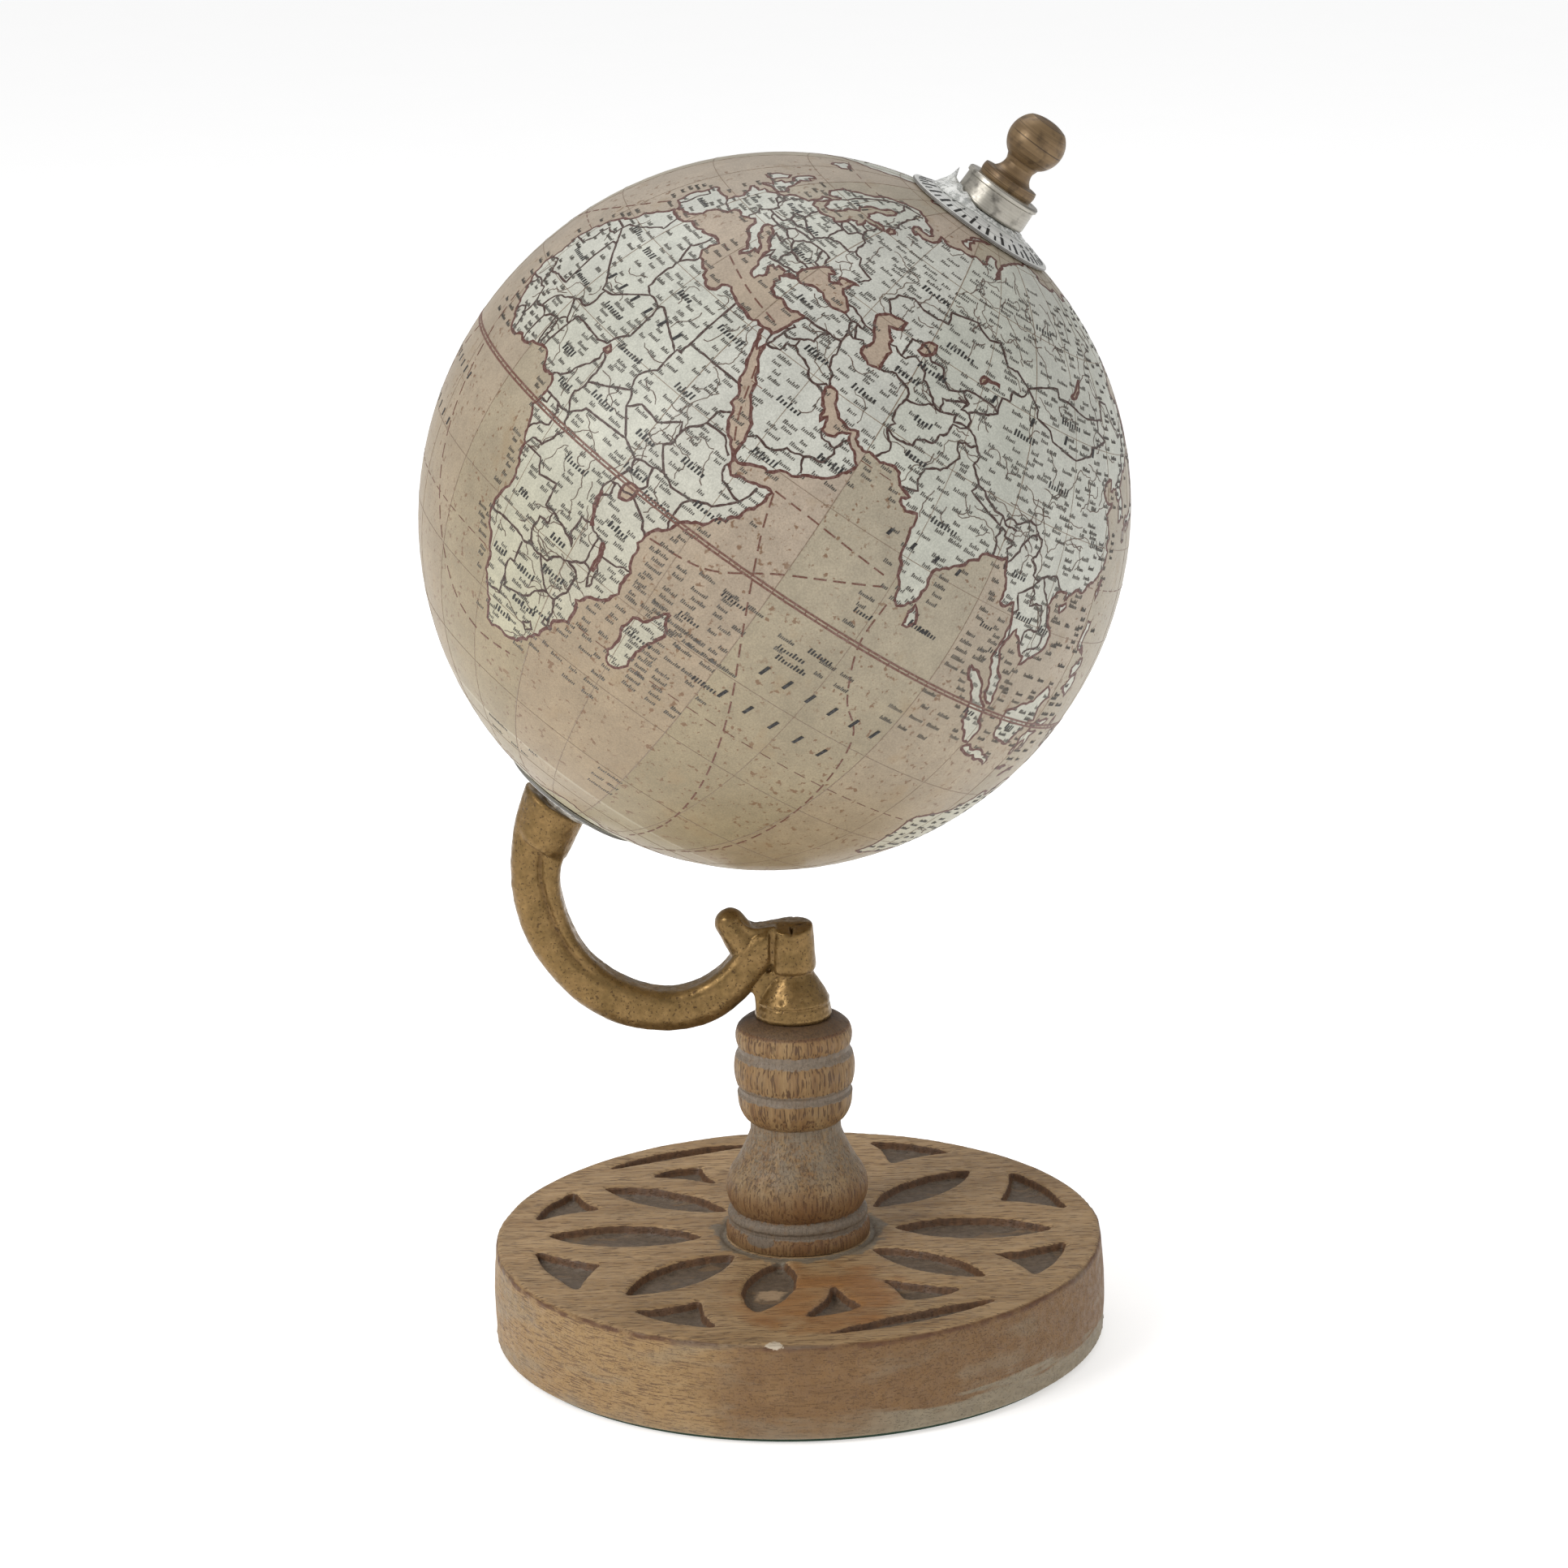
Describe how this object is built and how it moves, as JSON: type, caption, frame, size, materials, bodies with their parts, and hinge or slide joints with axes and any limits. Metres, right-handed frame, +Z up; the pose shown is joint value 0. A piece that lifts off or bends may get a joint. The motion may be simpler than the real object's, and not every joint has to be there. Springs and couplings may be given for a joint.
{
  "type": "desktop globe on stand",
  "caption": "Desktop globe with a printed antique-style map, turning on a leaning rod held by a brass C-shaped arm over a turned wooden post and a carved round wooden base.",
  "frame": {"origin": "centre of the underside of the base, on the surface it rests on", "axes": "+Z up; the globe's north pole leans towards +X; the viewer of the front stands on the -Y side"},
  "size_m": [0.1278, 0.127, 0.227],
  "materials": {
    "carved_wood": "carved mango wood, open pores, grey wash in the recesses, satin lacquer",
    "turned_wood": "turned mango wood with grey wash on the neck and in the grooves",
    "felt": "dense green felt",
    "zinc_steel": "bright zinc plate",
    "antique_brass": "sand-cast antique brass, dark pits, polished highs",
    "dark_brass": "dark turned brass with fine turning lines",
    "nickel": "bright satin metal",
    "dial_aluminium": "polished aluminium",
    "printed_dial": "spun aluminium with printed hour ticks",
    "clear_film": "thin clear film, crumpled",
    "moulded_shell": "moulded plain shell",
    "card_band": "pressed card",
    "bush_plastic": "natural nylon",
    "map_paper": "printed paper under clear gloss varnish"
  },
  "bodies": {
    "stand": {"base_disc": "carved_wood", "felt_pad": "felt", "turned_column": "turned_wood", "tie_rod": "zinc_steel", "tie_rod_washer": "zinc_steel", "tie_rod_nut": "zinc_steel", "arm_casting": "antique_brass", "axle_rod": "zinc_steel", "south_collar": "nickel", "film_washer": "clear_film", "north_collar": "nickel", "finial_knob": "dark_brass"},
    "globe": {"north_hemisphere": "moulded_shell", "south_hemisphere": "moulded_shell", "north_bushing": "bush_plastic", "south_bushing": "bush_plastic", "equator_band": "card_band", "map_gore_01": "map_paper", "map_gore_02": "map_paper", "map_gore_03": "map_paper", "map_gore_04": "map_paper", "map_gore_05": "map_paper", "map_gore_06": "map_paper", "map_gore_07": "map_paper", "map_gore_08": "map_paper", "map_gore_09": "map_paper", "map_gore_10": "map_paper", "map_gore_11": "map_paper", "map_gore_12": "map_paper"},
    "north_dial": {"north_hour_dial": "printed_dial"},
    "south_dial": {"south_hour_dial": "dial_aluminium"}
  },
  "joints": [
    {"name": "globe_spin", "type": "hinge", "parent": "stand", "child": "globe", "pos_m": [-0.0013, 0, 0.1564], "axis": [0.5878, 0, 0.809], "continuous": true},
    {"name": "north_dial_turn", "type": "hinge", "parent": "stand", "child": "north_dial", "pos_m": [-0.0013, 0, 0.1564], "axis": [0.5878, 0, 0.809], "continuous": true},
    {"name": "south_dial_turn", "type": "hinge", "parent": "stand", "child": "south_dial", "pos_m": [-0.0013, 0, 0.1564], "axis": [0.5878, 0, 0.809], "continuous": true}
  ]
}
